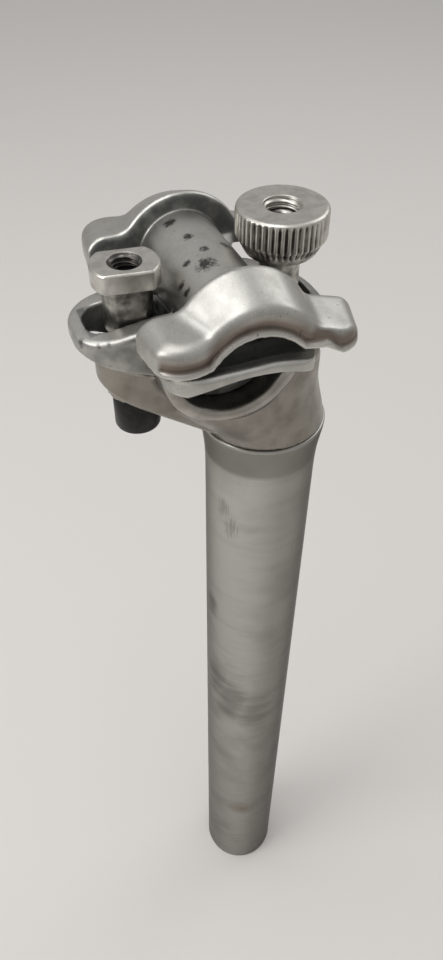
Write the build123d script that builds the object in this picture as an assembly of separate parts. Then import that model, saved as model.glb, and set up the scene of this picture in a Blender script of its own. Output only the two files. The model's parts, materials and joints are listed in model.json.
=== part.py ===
from build123d import *
import os

# Bicycle seatpost, standing on its tube end: Z is the tube axis, +X points to the front of the bicycle.

# Tube
tube_od = 27.2
tube_wall = 2.3
tube_length = 248.0
tube_end_break = 0.5
collar_step = 1.3
collar_lip = 1.2
flare_length = 10.0

# Clamp centre, which is the trough's axis: how far it lies behind the tube and above the tube's top
setback = 14.2
trough_rise = 29.0
trough_r = 12.0
bolt_reach = 4.2

# Fits and gaps
bond_gap = 0.02
turn_fit = 0.05
thread_fit = 0.04
rock_gap = 0.7
rail_room = 0.15
bolt_room = 0.4
head_room = 0.5
slot_room = 0.7
side_room = 1.0
tray_room = 0.6

# Forged head: heights are drops below the trough's axis, slopes are rise over run
shoulder_inset = 0.4
spigot_length = 24.0
spigot_wall = 3.3
spigot_cap = 3.0
stud_floor = 2.0
rim_wall = 3.3
rim_half_width = 16.4
rim_drop = 0.4
rim_round = 1.2
ear_half_width = 7.8
ear_drop = 4.2
ear_slope = 0.42
ear_depth = 8.8
ear_tip_height = 8.2
ear_root_rise = 2.0
ear_round = 2.0
seat_wall = 1.0
shelf_drop = 7.2
shelf_slope = 0.42
# Neck sections from the shoulder up: shares of the rise and setback, then length and width in shoulder radii
neck_shares = [
    (0, 0, 1, 1),
    (0.138, 0.113, 1.055, 1.021),
    (0.276, 0.31, 1.186, 1.034),
    (0.448, 0.521, 1.352, 1.041),
]

# Lower cradle: heights are above the trough's axis
cradle_rise = 4.6
cradle_neck = 8.6
rail_d = 7.0
rail_spacing = 44.0
rail_rise = 8.6
tray_rim = 5.3
tray_rear = 16.8
tray_front = 12.4
tray_lip_rise = 6.1
tray_floor_rise = 2.8
tray_root_rise = 1.6
tray_rear_r = 5.5
tray_front_r = 4.0
tray_floor_half = 2.5
tray_ledge = 4.6
tray_ramp = 1.8
tray_break = 0.7

# Upper clamp: heights are above the trough's axis
barrel_r = 8.7
barrel_rise = 8.0
barrel_wall = 2.3
jaw_inset = 7.0
jaw_roll = 3.2
jaw_inner_roll = 1.2
jaw_outer_r = 5.8
jaw_trim = 0.1
hump_lead = 0.6
hump_r = 13.9
hump_crest = 20.7
wing_rear_reach = 20.0
wing_front_reach = 24.4
wing_rear_rise = 13.6
wing_front_rise = 8.7
wing_slope = 0.3
wing_tip_r = 4.4
wing_valley_r = 4.4
lip_hump_r = 14.6
lip_crest = 15.4
lip_rear_reach = 18.5
lip_front_reach = 20.6
lip_rear_rise = 12.8
lip_front_rise = 7.8
lip_slope = 0.25
lip_tip_r = 3.2
lip_valley_r = 4.0
recess_depth = 1.8
recess_inset = 1.0
recess_round = 6.0
wing_floor_rise = 7.0
front_floor_rise = 4.6
front_ramp = 4.0
arch_r = 11.8
arch_crest = 11.0
jaw_pad_r = 3.0
jaw_pad_inset = 1.8
front_wall = 4.0
web_drop = 3.0
web_overlap = 1.0
loop_half_width = 9.6
loop_flat = 1.4
loop_rise = 6.6
loop_wall = 2.8
loop_round = 1.2
rear_loop_reach = 11.9
rear_top_slope = 0.13
front_loop_reach = 9.2
front_top_slope = 0.42
front_floor_slope = 0.1
slot_half_width = 4.9
slot_flat = 1.3

# Screws and nuts, all M6: lifts are above the loops' top
thread_r = 3.0
screw_head_r = 5.0
screw_head_h = 9.4
screw_edge = 0.5
screw_sink = 2.6
hex_key = 5.0
hex_depth = 3.2
shank_dip = 4.0
nut_lift = 5.8
nut_flange_r = 6.8
nut_flange_h = 4.0
nut_flange_flat = 5.0
nut_shank_r = 5.0
nut_mouth = 0.4
nut_edge = 0.35
nut_turn = -8.0
thumb_lift = 5.8
thumb_r = 9.3
thumb_band_h = 6.4
thumb_cone_h = 3.0
thumb_cone_r = 7.2
thumb_edge = 0.6
thumb_mouth = 0.8
thumb_mouth_depth = 2.6
stud_sink = 7.3
knurl_count = 44
knurl_r = 0.5
knurl_offset = 0.12

# How far a cutting tool reaches past what it cuts
over = 60.0

# Sizes and places that follow from those above
tube_r = tube_od / 2
bore_r = tube_r - tube_wall
collar_r = tube_r + collar_step
shoulder_r = collar_r - shoulder_inset
trough_z = tube_length + trough_rise
bolt_offset = trough_r + bolt_reach
rear_x = -setback - bolt_offset
front_x = -setback + bolt_offset
rim_top_z = trough_z - rim_drop
ear_top_z = trough_z - ear_drop
ear_seat_z = ear_top_z - ear_depth
ear_tip = -bolt_offset - ear_half_width
ear_tip_z = ear_top_z + ear_slope * ear_half_width
shelf_z = trough_z - shelf_drop
stud_floor_z = tube_length + stud_floor
rail_y = rail_spacing / 2
rail_z = trough_z + rail_rise
cradle_r = trough_r - turn_fit
cradle_top_z = trough_z + cradle_rise
cradle_half_width = loop_half_width + side_room
tray_edge_y = rail_y + tray_rim
tray_lip_z = trough_z + tray_lip_rise
tray_floor_z = trough_z + tray_floor_rise
tray_root_z = trough_z + tray_root_rise
barrel_z = trough_z + barrel_rise
jaw_inner_y = rail_y - jaw_inset
jaw_width = tray_edge_y - jaw_inner_y
wing_floor_z = trough_z + wing_floor_rise
front_floor_z = trough_z + front_floor_rise
loop_top_z = trough_z + loop_rise
loop_floor = ear_top_z + rock_gap
loop_root = cradle_r + side_room
shank_end_z = loop_top_z - shank_dip
shank_flat = slot_half_width - slot_room
flange_z = loop_top_z + nut_lift
nut_top_z = flange_z + nut_flange_h
screw_end_z = nut_top_z - screw_sink
cone_z = loop_top_z + thumb_lift
band_z = cone_z + thumb_cone_h
thumb_top_z = band_z + thumb_band_h
stud_top_z = thumb_top_z - stud_sink
tap_r = thread_r + thread_fit


def side_plane(y):
    """The upright plane through the clamp centre line, moved out to -y."""
    return Plane(origin=(-setback, -y, 0), x_dir=(1, 0, 0), z_dir=(0, -1, 0))


def side_slab(points, half_width):
    """A closed side view, given from the clamp centre line, as a slab across the post."""
    outline = make_face(Polyline(*points, close=True))
    return extrude(side_plane(0) * outline, half_width, both=True)


def cross_cylinder(radius, z, half_width):
    """A cylinder lying across the post on the clamp centre line."""
    return Pos(-setback, 0, z) * Rot(90, 0, 0) * Cylinder(radius, 2 * half_width)


def upright(x, radius, z0, z1):
    """An upright cylinder at x between two heights."""
    return Pos(x, 0, z0) * Cylinder(radius, z1 - z0, align=(Align.CENTER, Align.CENTER, Align.MIN))


# Tube with its flared and lipped top
tube_profile = make_face(
    Polyline(
        (bore_r, tube_end_break),
        (bore_r + tube_end_break, 0),
        (tube_r, 0),
        (tube_r, tube_length - flare_length),
        (collar_r, tube_length - collar_lip),
        (collar_r, tube_length),
        (bore_r, tube_length),
        close=True,
    )
)
post_tube = revolve(Plane.XZ * tube_profile, Axis.Z)

# Head: neck rising from the round shoulder to the long oval under the clamp
neck_sections = []
for rise, back, long, wide in neck_shares:
    section = Ellipse(long * shoulder_r, wide * shoulder_r)
    neck_sections.append(Pos(-back * setback, 0, tube_length + rise * trough_rise) * section)
neck = loft(neck_sections)
neck_crown = extrude(neck_sections[-1], trough_rise * (1 - neck_shares[-1][0]))
pipe = cross_cylinder(trough_r + rim_wall, trough_z, rim_half_width)

# Head: rear ear, with a level top and an underside that slants into the neck
ear_outline = [
    (ear_tip, ear_tip_z),
    (0, ear_top_z - ear_slope * bolt_offset),
    (0, tube_length + ear_root_rise),
    (ear_tip, ear_tip_z - ear_tip_height),
]
ear = side_slab(ear_outline, ear_half_width)
ear_plan = Circle(ear_half_width) + Rectangle(over, 2 * ear_half_width, align=(Align.MIN, Align.CENTER))
ear &= extrude(Pos(rear_x, 0, tube_length) * ear_plan, over)
ear_under = ear.faces().sort_by(lambda face: face.normal_at().Z)[0]
ear_low_edges = [e for e in ear_under.edges() if e.center().X < -setback - trough_r / 4]
ear = fillet(ear_low_edges, ear_round)
head = neck + neck_crown + pipe + ear

# Head: open the trough, drop the front, and clear the way for the clamp's rear loop
head -= cross_cylinder(trough_r, trough_z, over)
front_cut = [
    (0, shelf_z + shelf_slope * bolt_offset),
    (over, shelf_z - shelf_slope * (over - bolt_offset)),
    (over, trough_z + over),
    (0, trough_z + over),
]
head -= side_slab(front_cut, over)
head -= Pos(-setback, 0, rim_top_z) * Box(
    2 * over, 2 * over, over, align=(Align.CENTER, Align.CENTER, Align.MIN)
)
rear_notch = [
    (-over, ear_top_z + ear_slope * (over - bolt_offset)),
    (0, ear_top_z - ear_slope * bolt_offset),
    (0, trough_z + over),
    (-over, trough_z + over),
]
head -= side_slab(rear_notch, cradle_half_width)

# Head: spigot bonded into the tube, with the bolt hole, the bolt seat and the stud hole
head += upright(0, bore_r - bond_gap, tube_length - spigot_length, tube_length)
head += upright(rear_x, screw_head_r + seat_wall, ear_seat_z, ear_top_z - ear_slope * ear_half_width)
rim_edges = [e for e in head.edges() if abs(abs(e.center().Y) - rim_half_width) < 0.01]
head = fillet([e for e in rim_edges if e.length > 2 * rim_wall], rim_round)
head -= upright(0, bore_r - spigot_wall, tube_length - spigot_length, tube_length - spigot_cap)
head -= upright(rear_x, thread_r + bolt_room, tube_length, trough_z)
head -= upright(rear_x, screw_head_r + head_room, tube_length, ear_seat_z)
head -= upright(front_x, tap_r, stud_floor_z, trough_z)

# Lower cradle: a half round that rocks in the trough, with a rail tray on either side
cradle_side = Pos(0, trough_z) * Circle(cradle_r)
cradle_side &= Pos(0, trough_z) * Rectangle(over, over, align=(Align.CENTER, Align.MAX))
cradle_side += Pos(0, trough_z) * Rectangle(2 * cradle_neck, 2 * cradle_rise)
lower_cradle = extrude(side_plane(0) * cradle_side, cradle_half_width, both=True)
tray_profile = make_face(
    Polyline(
        (cradle_half_width, cradle_top_z),
        (cradle_half_width, tray_root_z),
        (rim_half_width, tray_root_z),
        (rail_y - tray_floor_half, tray_floor_z),
        (tray_edge_y - tray_break, tray_floor_z),
        (tray_edge_y, tray_floor_z + tray_break),
        (tray_edge_y, tray_lip_z - tray_break),
        (tray_edge_y - tray_break, tray_lip_z),
        (rail_y - tray_ledge, tray_lip_z),
        (rail_y - tray_ledge - tray_ramp, cradle_top_z),
        close=True,
    )
)
tray_profile -= Pos(rail_y, rail_z) * Circle(rail_d / 2 + rail_room)
tray_plane = Plane(origin=(-setback, 0, 0), x_dir=(0, 1, 0), z_dir=(1, 0, 0))
tray = extrude(tray_plane * tray_profile, tray_rear + tray_front, both=True)
tray_plan = Pos(-tray_rear, 0) * Rectangle(tray_rear + tray_front, tray_edge_y, align=Align.MIN)
rear_corner = tray_plan.vertices().group_by(Axis.Y)[-1].sort_by(Axis.X)[0]
tray_plan = fillet(rear_corner, tray_rear_r)
front_corner = tray_plan.vertices().group_by(Axis.Y)[-1].sort_by(Axis.X)[-1]
tray_plan = fillet(front_corner, tray_front_r)
tray &= extrude(Pos(-setback, 0, tube_length) * tray_plan, over)
lower_cradle += tray
lower_cradle += mirror(tray, about=Plane.XZ)


# Upper clamp: the two arched jaws, each a hump between two wings
def wave(hump, crest, rear_reach, rear, front_reach, front, fall, valley, tip):
    """Side view of a jaw: a round hump, a level rear wing and a front wing that falls towards its tip."""
    wings = make_face(
        Polyline(
            (-rear_reach, trough_z),
            (-rear_reach, trough_z + rear),
            (hump_lead - jaw_trim, trough_z + rear),
            (hump_lead + jaw_trim, trough_z + front + fall * (front_reach - hump_lead)),
            (front_reach, trough_z + front),
            (front_reach, trough_z),
            close=True,
        )
    )
    outline = wings + Pos(hump_lead, trough_z + crest - hump) * Circle(hump)
    outline &= Pos(0, trough_z) * Rectangle(over, over, align=(Align.CENTER, Align.MIN))
    upper = [v for v in outline.vertices() if v.Y > trough_z + front / 2]
    outline = fillet([v for v in upper if -0.99 * rear_reach < v.X < 0.99 * front_reach], valley)
    upper = [v for v in outline.vertices() if v.Y > trough_z + front / 2]
    tips = [v for v in upper if v.X < -0.99 * rear_reach or v.X > 0.99 * front_reach]
    return fillet(tips, tip)


jaw_back = wave(
    hump_r,
    hump_crest,
    wing_rear_reach,
    wing_rear_rise,
    wing_front_reach,
    wing_front_rise,
    wing_slope,
    wing_valley_r,
    wing_tip_r,
)
jaw_lip = wave(
    lip_hump_r,
    lip_crest,
    lip_rear_reach,
    lip_rear_rise,
    lip_front_reach,
    lip_front_rise,
    lip_slope,
    lip_valley_r,
    lip_tip_r,
)
jaw = loft([side_plane(jaw_inner_y) * jaw_back, side_plane(tray_edge_y) * jaw_lip], ruled=True)
jaw_plan = make_face(
    Polyline(
        (jaw_trim - wing_rear_reach, -jaw_inner_y),
        (jaw_trim - lip_rear_reach, -tray_edge_y),
        (lip_front_reach - jaw_trim, -tray_edge_y),
        (wing_front_reach - jaw_trim, -jaw_inner_y),
        close=True,
    )
)
jaw_plan = fillet(jaw_plan.vertices().group_by(Axis.Y)[0], jaw_outer_r)
recess_half = lip_rear_reach - jaw_outer_r - recess_inset
recess_r = (recess_half**2 + recess_depth**2) / (2 * recess_depth)
jaw_plan -= Pos(0, recess_depth - tray_edge_y - recess_r) * Circle(recess_r)
recess_ends = [v for v in jaw_plan.vertices() if abs(v.X) < recess_half + jaw_trim]
jaw_plan = fillet(recess_ends, recess_round)
jaw &= extrude(Pos(-setback, 0, tube_length) * jaw_plan, 2 * over)


def top_edges(face):
    """The edges along the top of an upright face."""
    return [e for e in face.edges() if e.center().Z > front_floor_z and abs(e.tangent_at(0.5).Z) < 0.95]


roll_edges = []
for face in jaw.faces():
    out = face.normal_at()
    if abs(out.Z) < 0.02 and out.Y < -0.4 and face.center().Y < -rail_y:
        roll_edges += top_edges(face)
jaw = fillet(roll_edges, jaw_roll)
inner_face = jaw.faces().sort_by(lambda face: face.normal_at().Y)[-1]
jaw = fillet(top_edges(inner_face), jaw_inner_roll)

# Upper clamp: hollow the jaws' underside, arched over the tray, and add the pads that bear on the rails
arch = Pos(0, trough_z + arch_crest - arch_r) * Circle(arch_r)
ramp_x = tray_front + tray_room
jaw_floor = make_face(
    Polyline(
        (-over, trough_z),
        (-over, wing_floor_z),
        (ramp_x, wing_floor_z),
        (ramp_x + front_ramp, front_floor_z),
        (over, front_floor_z),
        (over, trough_z),
        close=True,
    )
)
jaw -= extrude(side_plane(0) * (jaw_floor + arch), over)
pad_length = 2 * (lip_rear_reach - jaw_pad_inset)
pad = Pos(-setback, -rail_y, rail_z) * Rot(0, 90, 0) * Cylinder(jaw_pad_r, pad_length)
pad -= extrude(side_plane(0) * arch, over)
pad &= Pos(-setback, -rail_y, wing_floor_z) * Box(over, over, jaw_pad_r)
jaw += pad
web_top_z = trough_z + wing_rear_rise - web_drop
web_inner_y = loop_half_width - web_overlap
web_half = wing_rear_reach - wing_tip_r
web_profile = make_face(
    Polyline(
        (-jaw_inner_y - web_overlap, web_top_z),
        (-web_inner_y, loop_top_z - loop_round),
        (-web_inner_y, trough_z),
        (-jaw_inner_y - web_overlap, trough_z),
        close=True,
    )
)
web = extrude(tray_plane * web_profile, web_half, both=True)
web_plan = make_face(
    Polyline(
        (-web_half, -jaw_inner_y - web_overlap),
        (loop_root, -jaw_inner_y - web_overlap),
        (barrel_r, -web_inner_y),
        (-loop_root, -web_inner_y),
        close=True,
    )
)
jaw += web & extrude(Pos(-setback, 0, tube_length) * web_plan, over)
jaw -= Pos(-setback, -cradle_half_width + side_room / 2, tray_lip_z + tray_room) * Box(
    over, jaw_inset - tray_break, over, align=(Align.CENTER, Align.MAX, Align.MAX)
)
jaw -= Pos(-setback, 0, cradle_top_z) * Box(
    2 * loop_root, over, over, align=(Align.CENTER, Align.CENTER, Align.MAX)
)

# Upper clamp: barrel between the jaws and the slotted loop at either end
barrel_side = Pos(0, barrel_z) * Circle(barrel_r)
barrel_side += Pos(0, barrel_z) * Rectangle(2 * barrel_r, barrel_r, align=(Align.CENTER, Align.MAX))
barrel_side &= Pos(0, cradle_top_z) * Rectangle(over, over, align=(Align.CENTER, Align.MIN))
barrel = extrude(side_plane(0) * barrel_side, jaw_inner_y + turn_fit, both=True)


def is_top_rim(edge, side, slope):
    """True for the outer edges of a loop's falling top."""
    reach = side * (edge.center().X + setback)
    top = loop_top_z - slope * (reach - loop_root)
    return reach > loop_root and abs(edge.center().Z - top) < loop_round / 10


def loop(side, end, top_slope, floor_slope):
    """One loop: a slotted tongue reaching out from the barrel, its top falling towards the end."""
    plan = Pos(side * end / 2, 0) * RectangleRounded(end, 2 * loop_half_width, loop_half_width - loop_flat)
    plan += Rectangle(2 * barrel_r, 2 * loop_half_width)
    past = end + loop_wall
    view = [
        (0, loop_top_z),
        (side * loop_root, loop_top_z),
        (side * past, loop_top_z - top_slope * (past - loop_root)),
        (side * past, loop_floor + floor_slope * (past - bolt_offset)),
        (side * loop_root, loop_floor - floor_slope * (bolt_offset - loop_root)),
        (side * loop_root, cradle_top_z),
        (0, cradle_top_z),
    ]
    body = side_slab(view, over) & extrude(Pos(-setback, 0, tube_length) * plan, over)
    body = fillet([e for e in body.edges() if is_top_rim(e, side, top_slope)], loop_round)
    slot_end = end - loop_wall
    slot_length = slot_end - barrel_r / 2
    slot = RectangleRounded(slot_length, 2 * slot_half_width, slot_half_width - slot_flat)
    slot_x = side * (slot_end - slot_length / 2) - setback
    return body - extrude(Pos(slot_x, 0, tube_length) * slot, over)


upper_clamp = barrel + loop(-1, bolt_offset + rear_loop_reach, rear_top_slope, ear_slope)
upper_clamp += loop(1, bolt_offset + front_loop_reach, front_top_slope, front_floor_slope)
upper_clamp += jaw
upper_clamp += mirror(jaw, about=Plane.XZ)
hollow_r = barrel_r - barrel_wall
hollow = Pos(0, barrel_z) * Circle(hollow_r)
hollow += Pos(0, barrel_z) * Rectangle(2 * hollow_r, 2 * hollow_r, align=(Align.CENTER, Align.MAX))
upper_clamp -= extrude(side_plane(0) * hollow, tray_edge_y - front_wall, both=True)

# Rear screw, socket head down
rear_bolt = upright(rear_x, screw_head_r, ear_seat_z - screw_head_h, ear_seat_z)
rear_bolt = chamfer(rear_bolt.edges().sort_by(Axis.Z)[0], screw_edge)
rear_bolt += upright(rear_x, thread_r, ear_seat_z, screw_end_z)
socket = Pos(rear_x, 0, ear_seat_z - screw_head_h) * RegularPolygon(hex_key / 2, 6, major_radius=False)
rear_bolt -= extrude(socket, hex_depth)

# Rear nut: flatted flange on a flatted shank that runs in the slot
nut_place = Pos(rear_x, 0, 0) * Rot(0, 0, nut_turn)
flange = Circle(nut_flange_r) & Rectangle(2 * nut_flange_r, 2 * nut_flange_flat)
rear_nut = extrude(nut_place * Pos(0, 0, flange_z) * flange, nut_flange_h)
rear_nut = chamfer(rear_nut.faces().sort_by(Axis.Z)[-1].edges(), nut_edge)
shank = Circle(nut_shank_r) & Rectangle(2 * nut_shank_r, 2 * shank_flat)
rear_nut += extrude(nut_place * Pos(0, 0, shank_end_z) * shank, flange_z - shank_end_z)
rear_nut -= upright(rear_x, thread_r, shank_end_z, nut_top_z)
rear_nut -= Pos(rear_x, 0, nut_top_z) * Cone(
    thread_r, thread_r + nut_mouth, nut_mouth, align=(Align.CENTER, Align.CENTER, Align.MAX)
)

# Front stud, fixed in the head
front_stud = upright(front_x, thread_r, stud_floor_z, stud_top_z)
front_stud = chamfer(front_stud.edges().sort_by(Axis.Z)[-1], thumb_edge)

# Thumb nut: knurled band, coned underside and a shank that runs in the slot
thumb_profile = make_face(
    Polyline(
        (0, shank_end_z),
        (shank_flat, shank_end_z),
        (shank_flat, cone_z),
        (thumb_cone_r, cone_z),
        (thumb_r - thumb_edge, band_z),
        (thumb_r, band_z + thumb_edge),
        (thumb_r, thumb_top_z - thumb_edge),
        (thumb_r - thumb_edge, thumb_top_z),
        (0, thumb_top_z),
        close=True,
    )
)
thumb_nut = revolve(Plane.XZ * thumb_profile, Axis.Z)
flute = Pos(thumb_r + knurl_offset, 0, cone_z) * Cylinder(
    knurl_r, thumb_top_z - thumb_edge - cone_z, align=(Align.CENTER, Align.CENTER, Align.MIN)
)
thumb_nut -= [Rot(0, 0, 360 * i / knurl_count) * flute for i in range(knurl_count)]
thumb_nut = Pos(front_x, 0, 0) * thumb_nut
thumb_nut -= upright(front_x, tap_r, shank_end_z, thumb_top_z)
thumb_nut -= upright(front_x, thread_r + thumb_mouth, thumb_top_z - thumb_mouth_depth, thumb_top_z)

# Write every piece
pieces = {
    "post_tube": post_tube,
    "head": head,
    "lower_cradle": lower_cradle,
    "upper_clamp": upper_clamp,
    "rear_bolt": rear_bolt,
    "rear_nut": rear_nut,
    "front_stud": front_stud,
    "thumb_nut": thumb_nut,
}
os.makedirs("parts", exist_ok=True)
for name, shape in pieces.items():
    shape.label = name
    export_step(shape, f"parts/{name}.step")
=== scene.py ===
# %% [markdown]
# # A setback bicycle seatpost
# The post is a drawn alloy tube with a forged head, and a rail clamp that rocks in the head. The imported CAD
# model is the frame: it gives every place and size, in metres, with Z up the tube. The box around the CAD
# is kept.

# %% Load the frame
import json
import math

import bmesh
import bpy
import numpy as np
from mathutils import Matrix, Vector


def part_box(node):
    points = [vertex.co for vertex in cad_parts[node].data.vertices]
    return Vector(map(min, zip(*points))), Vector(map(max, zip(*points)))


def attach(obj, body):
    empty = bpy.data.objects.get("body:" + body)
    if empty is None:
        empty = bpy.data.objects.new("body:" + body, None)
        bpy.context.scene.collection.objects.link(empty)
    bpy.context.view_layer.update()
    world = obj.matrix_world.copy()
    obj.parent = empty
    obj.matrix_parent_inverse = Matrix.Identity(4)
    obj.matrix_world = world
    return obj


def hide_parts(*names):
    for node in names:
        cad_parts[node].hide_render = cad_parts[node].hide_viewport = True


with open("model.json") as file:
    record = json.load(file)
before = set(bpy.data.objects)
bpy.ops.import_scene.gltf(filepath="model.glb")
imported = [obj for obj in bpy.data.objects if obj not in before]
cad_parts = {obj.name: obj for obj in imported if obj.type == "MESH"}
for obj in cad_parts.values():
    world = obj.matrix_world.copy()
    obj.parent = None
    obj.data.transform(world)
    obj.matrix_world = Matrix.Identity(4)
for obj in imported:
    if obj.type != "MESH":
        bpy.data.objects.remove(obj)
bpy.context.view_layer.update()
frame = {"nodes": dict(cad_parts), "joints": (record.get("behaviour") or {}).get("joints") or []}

MM = 0.001

# %% [markdown]
# ## Turned pieces as stacks of rings
# The tube, the nuts and the screws are round pieces from a lathe. Spinning an edge would make them too, but
# a profile carried round an upright axis as arrays lets a knurl or a thread be pressed into the numbers. A
# profile is a closed line of radius and height. Its corners are rounded, because no real edge is sharp, and
# the line is cut into short runs, so that there are enough rows to press a pattern into.

# %% Profiles
ARC_STEPS = 5
MOST_OF_A_SIDE = 0.49
FINE_RUN = 0.125


def rounded(rows):
    """A closed profile with rounded corners. Each row is a corner's radius, height and rounding, in mm.

    Each corner C becomes a curve from A to B, the points that lie its rounding before and after it:
    (1-t)^2 A + 2t(1-t) C + t^2 B, with t from 0 to 1.
    """
    rows = np.asarray(rows, float)
    corners, cut = rows[:, :2], rows[:, 2:]
    back = np.roll(corners, 1, axis=0) - corners
    ahead = np.roll(corners, -1, axis=0) - corners
    reach_back = np.linalg.norm(back, axis=1, keepdims=True)
    reach_ahead = np.linalg.norm(ahead, axis=1, keepdims=True)
    start = corners + back / reach_back * np.minimum(cut, reach_back * MOST_OF_A_SIDE)
    end = corners + ahead / reach_ahead * np.minimum(cut, reach_ahead * MOST_OF_A_SIDE)
    t = np.linspace(0, 1, ARC_STEPS)[None, :, None]
    curve = (1 - t) ** 2 * start[:, None] + 2 * t * (1 - t) * corners[:, None] + t**2 * end[:, None]
    return curve.reshape(-1, 2)


def short_runs(profile, spacing, thread_r=0.0, thread_z=0.0):
    """The same closed line with more points: all its own, one at every spacing along its length, and one at
    every FINE_RUN inside the radius thread_r and above the height thread_z, where a thread will be cut.
    """
    line = np.vstack([profile, profile[:1]])
    length = np.concatenate([[0], np.cumsum(np.linalg.norm(np.diff(line, axis=0), axis=1))])
    fine = np.arange(0, length[-1], FINE_RUN)
    r, z = np.interp(fine, length, line[:, 0]), np.interp(fine, length, line[:, 1])
    fine = fine[(r < thread_r) & (z > thread_z)]
    at = np.unique(np.concatenate([length[:-1], np.arange(0, length[-1], spacing), fine]).round(6))
    return np.stack([np.interp(at, length, line[:, 0]), np.interp(at, length, line[:, 1])], axis=1)


print("points on a rounded triangle:", len(rounded([(1, 0, 0.1), (2, 0, 0.1), (2, 1, 0.1)])))

# %% [markdown]
# ## From rings to a piece
# Each row of the profile becomes a ring of points, each pair of rings a belt of squares, and the last ring
# joins the first, so the shell is closed. Numbers for the materials, such as dirt, are stored on the
# points.

# %% Rings
FULL_TURN = 2 * math.pi


def angles(steps):
    """The angles of a ring's steps, as a row."""
    return np.linspace(0, FULL_TURN, steps, endpoint=False)[None, :]


def store(mesh, name, values):
    """Puts one number on each point of the mesh, for the materials to read."""
    numbers = np.ravel(values).astype(np.float32)
    mesh.attributes.new(name, "FLOAT", "POINT").data.foreach_set("value", numbers)


def ring_mesh(name, radius, height, axis_x, dirt_and_shade=0.0):
    """A ring for each row: x = axis + r cos(a), y = r sin(a), z = height; the last row joins the first.

    The dirt and painted shade, from 0 to 1, are stored on the points, and so is each point's distance from
    the axis.
    """
    rows, steps = radius.shape
    angle = angles(steps)
    height = np.broadcast_to(height, radius.shape)
    points = np.stack([axis_x + radius * np.cos(angle), radius * np.sin(angle), height], axis=-1) * MM
    row, step = np.meshgrid(np.arange(rows) * steps, np.arange(steps), indexing="ij")
    next_row, next_step = np.roll(row, -1, axis=0), np.roll(step, -1, axis=1)
    belt = np.stack([row + step, row + next_step, next_row + next_step, next_row + step], axis=-1)
    mesh = bpy.data.meshes.new(name)
    mesh.from_pydata(points.reshape(-1, 3), [], belt.reshape(-1, 4))
    store(mesh, "dirt_and_shade", np.broadcast_to(dirt_and_shade, radius.shape))
    store(mesh, "from_axis", radius * MM)
    return mesh


print("first angles of a ring of 8:", angles(8)[0, :3].round(3))

# %% [markdown]
# ## Putting a piece in its place
# A finished piece rides on its body and takes the place of its CAD node. Points that lie on one another, as
# at the tip of a screw, are merged first, so that seams and poles are closed.

# %% Pieces
MERGE_WITHIN = 0.001


def finish_piece(mesh, body, node):
    """Merges doubles, turns the faces outwards, shades them smooth, puts the piece in the node's place."""
    shell = bmesh.new()
    shell.from_mesh(mesh)
    bmesh.ops.remove_doubles(shell, verts=shell.verts, dist=MERGE_WITHIN * MM)
    bmesh.ops.recalc_face_normals(shell, faces=shell.faces)
    shell.to_mesh(mesh)
    shell.free()
    mesh.polygons.foreach_set("use_smooth", np.ones(len(mesh.polygons), bool))
    piece = bpy.data.objects.new(mesh.name, mesh)
    bpy.context.scene.collection.objects.link(piece)
    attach(piece, body)
    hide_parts(node)
    print(piece.name, "faces:", len(mesh.polygons))
    return piece


# %% [markdown]
# ## The tube
# A plain drawn tube that flares to a lipped collar under the head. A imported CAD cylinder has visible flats,
# which show in the long reflections of a satin tube, so the tube is turned again here with many more steps.
# Its height and its collar come from the CAD node's own box; the bore, the flare and the lip are named
# values.

# %% Turn the tube
def corners_mm(node):
    """The lowest and the highest corner of a CAD node, in mm."""
    return [np.array(corner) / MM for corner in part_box(node)]


tube_high = corners_mm("post_tube")[1]
TUBE_R, TUBE_WALL = 13.6, 2.3
COLLAR_R, COLLAR_LIP = tube_high[0], 1.2
FLARE = 10.0
TUBE_STEPS = 192
TUBE_RUN = 1.6

tube_top = tube_high[2]
tube_rows = [
    (TUBE_R - TUBE_WALL, 0.0, 0.5),
    (TUBE_R, 0.0, 0.5),
    (TUBE_R, tube_top - FLARE, 6.0),
    (COLLAR_R, tube_top - COLLAR_LIP, 0.5),
    (COLLAR_R, tube_top, 0.4),
    (TUBE_R - TUBE_WALL, tube_top, 0.4),
]
tube_profile = short_runs(rounded(tube_rows), TUBE_RUN)
tube_radius = np.repeat(tube_profile[:, :1], TUBE_STEPS, axis=1)
tube_mesh = ring_mesh("flared_tube", tube_radius, tube_profile[:, 1:], 0.0)
tube = finish_piece(tube_mesh, "post", "post_tube")

# %% [markdown]
# ## Threads
# All the screws are M6: one thread every millimetre, about 0.6 mm deep. A thread is a ramp round a
# cylinder, so its radius depends on height and angle together: the fraction of a turn, height / pitch -
# angle / full turn, runs from the root up to the crest and down again. Pressed into the rings of a turned
# piece it needs no spiral mesh.

# %% Thread formula
PITCH = 1.0
THREAD_R = 3.0
THREAD_DEPTH = 0.56
THREAD_ROW = PITCH / 8
ROOT_FLAT, FLANK = 0.1, 0.75


def thread(height, angle):
    """How far up the flank a point is: 0 at the root and 1 at the crest, with both cut a little flat."""
    turn = height / PITCH - angle / FULL_TURN
    rise = 2 * np.abs(turn - np.floor(turn + 0.5))
    return np.clip((rise - ROOT_FLAT) / FLANK, 0, 1)


print("thread over half a turn:", thread(0.0, np.linspace(0, math.pi, 5)).round(2))

# %% [markdown]
# ## The stud
# A threaded pin that stands fixed in the head, under the thumb nut. Its rows are an eighth of a pitch
# apart, its end is chamfered, and the first and the last ring shrink to points, which closes it.

# %% Turn the stud
stud_low, stud_high = corners_mm("front_stud")
STUD_STEPS = 48
STUD_CHAMFER = 0.7

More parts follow.
